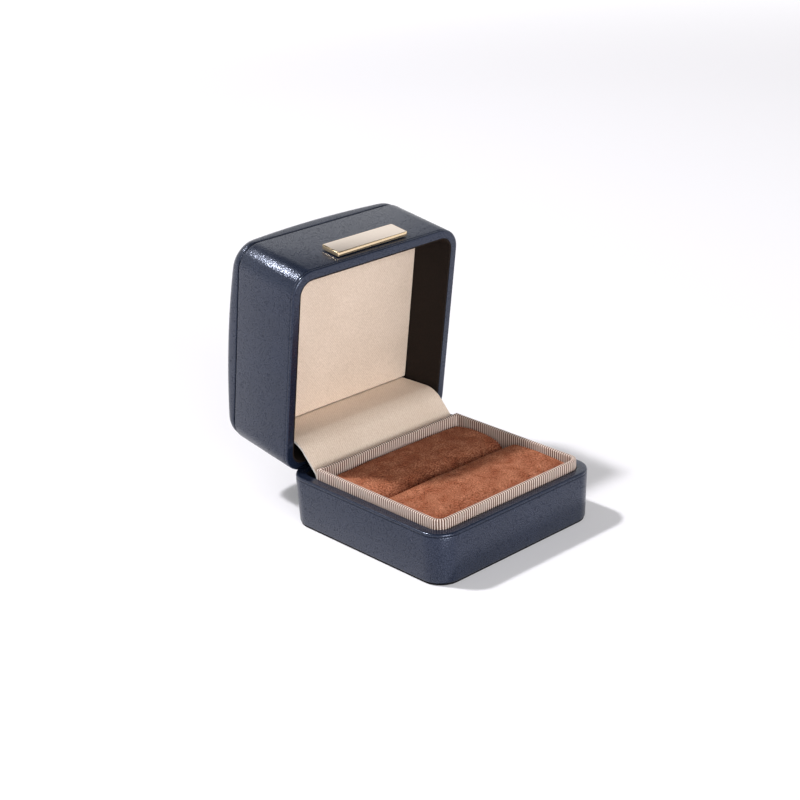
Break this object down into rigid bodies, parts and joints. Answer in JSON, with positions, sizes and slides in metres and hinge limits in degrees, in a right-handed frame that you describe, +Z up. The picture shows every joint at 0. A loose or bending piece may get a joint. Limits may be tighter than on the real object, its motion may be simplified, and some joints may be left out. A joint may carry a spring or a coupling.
{
  "type": "ring box",
  "caption": "Square ring box with a hinged padded lid, shown open: ribbon-covered tray collar, suede cushion slotted for a ring, cream lid lining and a small metal plate on the lid's front.",
  "frame": {"origin": "centre of the base's flat underside", "axes": "+Z up, -Y towards the front, where the lid opens, +X towards the right seen from the front; the hinge axis runs along X at the rear"},
  "size_m": [0.065, 0.0954, 0.0829],
  "materials": {
    "navy_leather": "fine-grained leather-look cloth, semi-gloss",
    "shell_plastic": "dark moulded plastic under the covering",
    "base_card": "black paper-covered board",
    "tray_card": "grey-brown board",
    "cream_ribbon": "ribbed grosgrain ribbon, soft sheen",
    "brown_suede": "short-napped suede cloth",
    "foam": "soft foam",
    "cream_cloth": "fine woven cloth with a pearly sheen",
    "brown_lining": "smooth dark lining",
    "hinge_steel": "plated spring steel",
    "plate_brass": "champagne-gold satin face with polished bevels"
  },
  "bodies": {
    "base": {"base_bottom_board": "base_card", "base_shell": "shell_plastic", "base_wrap": "navy_leather", "base_rim": "navy_leather", "tray_frame": "tray_card", "tray_ribbon": "cream_ribbon", "cushion_board": "tray_card", "cushion_foam_front": "foam", "cushion_foam_rear": "foam", "cushion_cover_front": "brown_suede", "cushion_cover_rear": "brown_suede", "hinge_base_leaf": "hinge_steel", "hinge_pin": "hinge_steel", "hinge_spring": "hinge_steel", "hinge_base_rivets": "hinge_steel", "hinge_cover": "cream_cloth"},
    "lid": {"hinge_lid_leaf": "hinge_steel", "hinge_lid_rivets": "hinge_steel", "lid_shell": "shell_plastic", "lid_wrap": "navy_leather", "lid_rim": "navy_leather", "lid_side_lining": "brown_lining", "lid_ceiling_lining": "cream_cloth", "lid_ceiling_board": "tray_card", "lid_ceiling_foam": "foam", "lid_pad_board": "tray_card", "lid_pad_foam": "foam", "lid_pad_cover": "navy_leather", "front_plate": "plate_brass"}
  },
  "joints": [
    {"name": "lid_hinge", "type": "hinge", "parent": "base", "child": "lid", "pos_m": [0, 0.0316, 0.0152], "axis": [1, 0, 0], "range_deg": [0, 81.3], "deforming": ["hinge_cover"]}
  ]
}
